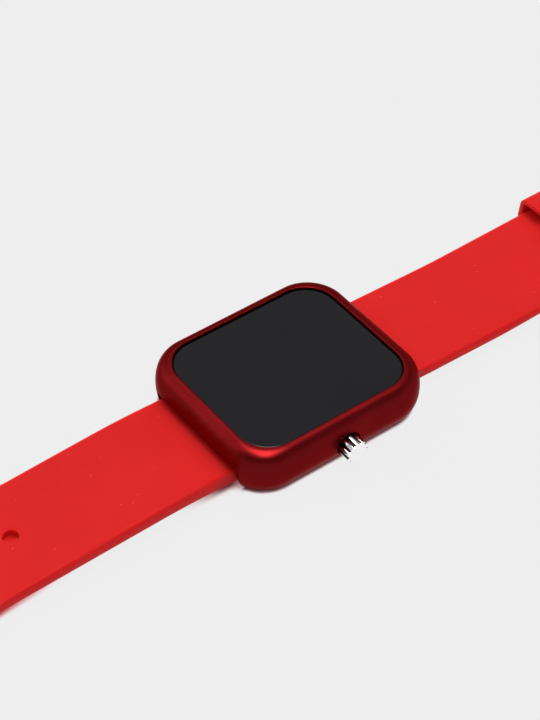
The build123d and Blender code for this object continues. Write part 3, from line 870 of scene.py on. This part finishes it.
refinish(rubber, "back_gasket", "crown_seal")
refinish(plastic("black tape", (0.018, 0.018, 0.019), 0.55, 8.0), "lens_tape")
refinish(plastic("black moulding", (0.022, 0.022, 0.023), 0.45), "cell_holder", "display_mask")
refinish(plastic("chip moulding", (0.012, 0.012, 0.013), 0.50, 10.0), "control_chip")
refinish(plastic("milky moulding", (0.70, 0.67, 0.65), 0.40), "light_segments")
refinish(plastic("clear lamp", (0.80, 0.70, 0.35), 0.20), "led_chips")
refinish(plastic("amber film", (0.60, 0.42, 0.12), 0.25, 1.0), "insulating_film")
refinish(board_lacquer(), "circuit_board")
refinish(brushed_steel("cell steel", (0.58, 0.58, 0.60), (1, 0.1, 1)), "coin_cell")
refinish(
    metal("contact gold", (0.66, 0.40, 0.08), 0.26),
    "cell_contact", "cell_clip", "switch_leaf")
refinish(metal("turned brass", (0.50, 0.30, 0.07), 0.28), "crown_tube")
refinish(
    plain_steel, "crystal_can", "crown_clip", "buckle_pin",
    "bar_tube_12", "bar_tube_6", "bar_pin_12_left", "bar_pin_12_right",
    "bar_pin_6_left", "bar_pin_6_right")


# Floor, light and camera

def pale_floor():
    """A wide pale floor that keeps a tight shadow under the watch."""
    bpy.ops.object.select_all(action="DESELECT")
    bpy.ops.mesh.primitive_grid_add(x_subdivisions=4, y_subdivisions=4, size=6, location=(0, 0, 0))
    floor = settle("floor")
    finish = Finish("pale floor", Roughness=0.9, Specular_IOR_Level=0.0)
    colour = finish.mix(
        finish.noise(finish.place(), 0.02, 2.0),
        shade((0.850, 0.850, 0.850)), shade((0.860, 0.860, 0.860)))
    finish.use("Base Color", colour)

    def shaded(under, distance, factor, stops):
        """A colour darkened where the sky over the floor is covered within a distance."""
        open_sky = finish.node(
            "ShaderNodeAmbientOcclusion", {"samples": 12}, {"Distance": distance * mm},
            output="AO")
        return finish.node(
            "ShaderNodeMix", {"data_type": "RGBA", "blend_type": "MULTIPLY"},
            {"Factor": factor, 6: under, 7: finish.ramp(open_sky, stops)}, output=2)

    near = shaded(colour, 1.0, 1.0, [
        (0.45, shade((0.10, 0.03, 0.035))), (0.58, shade((0.42, 0.22, 0.23))),
        (0.68, shade((0.82, 0.68, 0.69))), (0.78, shade((1.0, 0.96, 0.96))),
        (0.86, shade((1.0, 1.0, 1.0)))])
    across, out_along = [
        finish.node("ShaderNodeSeparateXYZ", {}, {"Vector": finish.place()}, output=axis)
        for axis in "XY"]
    # Beside the raised inner end of the strap with holes the shadow is wider
    raised = finish.level(out_along, -19, -17, 1.0, 0.0)
    raised = raised * finish.level(across, 12.0, 13.6, 1.0, 0.0)
    raised = raised * finish.level(out_along, -32, -23, 0.0, 1.0)
    near = shaded(near, 2.1, raised, [
        (0.52, shade((0.10, 0.01, 0.015))), (0.62, shade((0.30, 0.04, 0.05))),
        (0.69, shade((0.78, 0.42, 0.44))), (0.74, shade((1.0, 0.90, 0.90))),
        (0.80, shade((1.0, 1.0, 1.0)))])
    # Along both straps it has a red edge, from the light that the silicone throws down
    near = shaded(near, 1.3, finish.level(out_along * out_along, 22 ** 2, 28 ** 2, 0.0, 1.0), [
        (0.50, shade((0.60, 0.10, 0.11))), (0.64, shade((0.90, 0.42, 0.44))),
        (0.74, shade((1.0, 0.80, 0.81))), (0.84, shade((1.0, 1.0, 1.0)))])
    plain = finish.node("ShaderNodeEmission", {}, {"Color": near, "Strength": 1.0})
    seen = finish.seen() * 0.97
    lit = Signal(finish, finish.surface.outputs[0])
    finish.show(finish.node("ShaderNodeMixShader", {}, {0: seen, 1: lit, 2: plain}))
    floor.data.materials.append(finish.material)


def sun(name, azimuth, elevation, strength, angle):
    """A soft lamp far away; azimuth runs as the camera's does."""
    bpy.ops.object.select_all(action="DESELECT")
    bpy.ops.object.light_add(type="SUN")
    lamp = bpy.context.object
    lamp.name = name
    lamp.data.energy = strength
    lamp.data.angle = radians(angle)
    turn, rise = radians(azimuth), radians(elevation)
    towards = Vector((sin(turn) * cos(rise), -cos(turn) * cos(rise), sin(rise)))
    lamp.rotation_mode = "QUATERNION"
    lamp.rotation_quaternion = towards.to_track_quat("Z", "Y")
    lamp.location = towards
    lamp.visible_glossy = False


class Sky(Finish):
    """The light from all round, with the same tools as a finish."""

    def __init__(self, name):
        self.material = bpy.data.worlds.new(name)
        self.material.use_nodes = True
        self.tree = self.material.node_tree
        self.surface = self.tree.nodes["Background"]
        self.surface.inputs["Color"].default_value = (1, 1, 1, 1)
        bpy.context.scene.world = self.material


def surroundings(strength, horizon, overhead):
    """Even light; gloss sees it pale at the horizon, darker overhead, with two soft boxes."""
    box_ahead, box_depth, box_left, box_width, box_level = 0.10, 0.62, 0.04, 0.23, 11.0
    sky = Sky("studio")
    direction = sky.node("ShaderNodeTexCoord", output="Generated")

    def along(axis):
        return sky.node(
            "ShaderNodeVectorMath", {"operation": "DOT_PRODUCT"}, {0: direction, 1: axis},
            output="Value")

    ahead, right = along((0.8014, -0.5981, 0)), along((0.5981, 0.8014, 0))
    up, side_box = along((0, 0, 1)), along((-0.600, -0.550, 0.581))
    shown = sky.level(up, 0.05, 0.6, horizon, overhead) * sky.level(ahead, 0.2, 0.8, 1.0, 0.5)
    off_centre = (ahead - box_ahead) * (1 / box_depth)
    off_line = (right + box_left) * (1 / box_width)
    spread = off_centre * off_centre + off_line * off_line
    shown = shown + sky.level(spread, 0.45, 1.25, box_level, 0.0) * (up > 0)
    shown = shown + sky.level(side_box, 0.80, 0.97, 0.0, 1.1)
    seen = sky.seen()
    sky.use("Strength", seen * shown + (1 - seen) * strength)


def photo_camera():
    """The camera at the photograph's viewing angle."""
    place = Vector((218.81, -167.29, 282.74))
    target = Vector((-2.858, -1.909, 10.0))
    bpy.ops.object.select_all(action="DESELECT")
    bpy.ops.object.camera_add()
    camera = bpy.context.object
    camera.name = "photo_camera"
    camera.location = place * mm
    camera.rotation_mode = "QUATERNION"
    camera.rotation_quaternion = (target - place).to_track_quat("-Z", "Y")
    camera.data.sensor_width = 36
    camera.data.lens = 105.2
    camera.data.clip_start = 0.01
    camera.data.clip_end = 20
    bpy.context.scene.camera = camera


pale_floor()
surroundings(strength=0.40, horizon=0.86, overhead=0.36)
sun("key", azimuth=205, elevation=70, strength=1.8, angle=38)
sun("side_soft", azimuth=-50, elevation=45, strength=0.35, angle=50)
photo_camera()
bpy.context.scene.view_settings.view_transform = "Standard"
